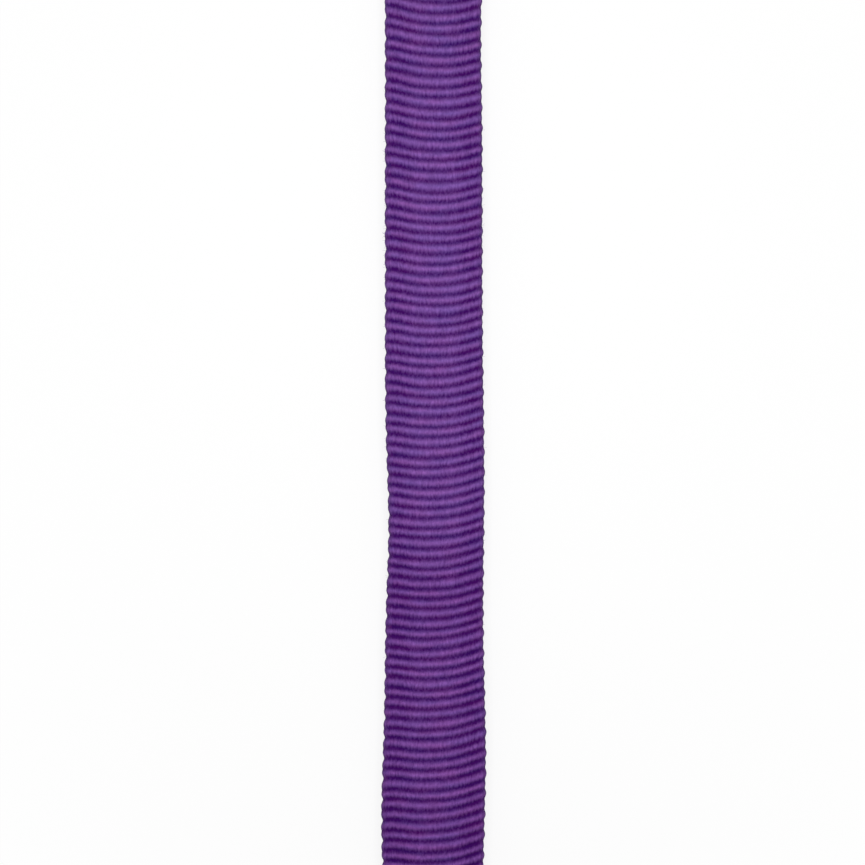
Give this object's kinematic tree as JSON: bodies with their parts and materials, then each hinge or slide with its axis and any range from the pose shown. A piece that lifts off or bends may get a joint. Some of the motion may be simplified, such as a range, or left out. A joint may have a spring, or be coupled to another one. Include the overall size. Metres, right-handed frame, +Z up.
{
  "type": "round sling",
  "caption": "Endless textile round sling in a ribbed violet sleeve over a yarn core, laid doubled and flat with an open eye at each end, for lifting loads.",
  "frame": {"origin": "on the surface the sling lies on, under the middle of the doubled sling", "axes": "+Y along the sling towards the sewn closure, +X across its flat width, +Z up out of the surface"},
  "size_m": [0.04, 0.4927, 0.0319],
  "materials": {
    "sleeve": "ribbed woven polyester, matt",
    "core": "undyed polyester yarn",
    "tape": "cloth adhesive tape",
    "thread": "polyester sewing thread",
    "tag": "bare woven polyester tag"
  },
  "bodies": {
    "middle": {"sleeve_upper_leg": "sleeve", "sleeve_lower_leg": "sleeve", "core_upper_leg": "core", "core_lower_leg": "core", "core_join_tape": "tape"},
    "end_a": {"sleeve_end_a": "sleeve", "core_end_a": "core"},
    "end_b": {"sleeve_end_b": "sleeve", "sleeve_tucked_end": "sleeve", "core_end_b": "core", "closing_needle_thread": "thread", "closing_bobbin_thread": "thread", "tag_root": "tag", "tag_thread": "thread"},
    "tag": {"tag_flap": "tag"}
  },
  "joints": [
    {"name": "end_a_fold", "type": "hinge", "parent": "middle", "child": "end_a", "pos_m": [0, -0.13108, 0.0123], "axis": [-1, 0, 0], "range_deg": [0, 150]},
    {"name": "end_b_fold", "type": "hinge", "parent": "middle", "child": "end_b", "pos_m": [0, 0.13108, 0.0123], "axis": [1, 0, 0], "range_deg": [0, 150]},
    {"name": "tag_lift", "type": "hinge", "parent": "end_b", "child": "tag", "pos_m": [0, 0.20193, 0.0136], "axis": [-1, 0, 0], "range_deg": [0, 110]}
  ]
}
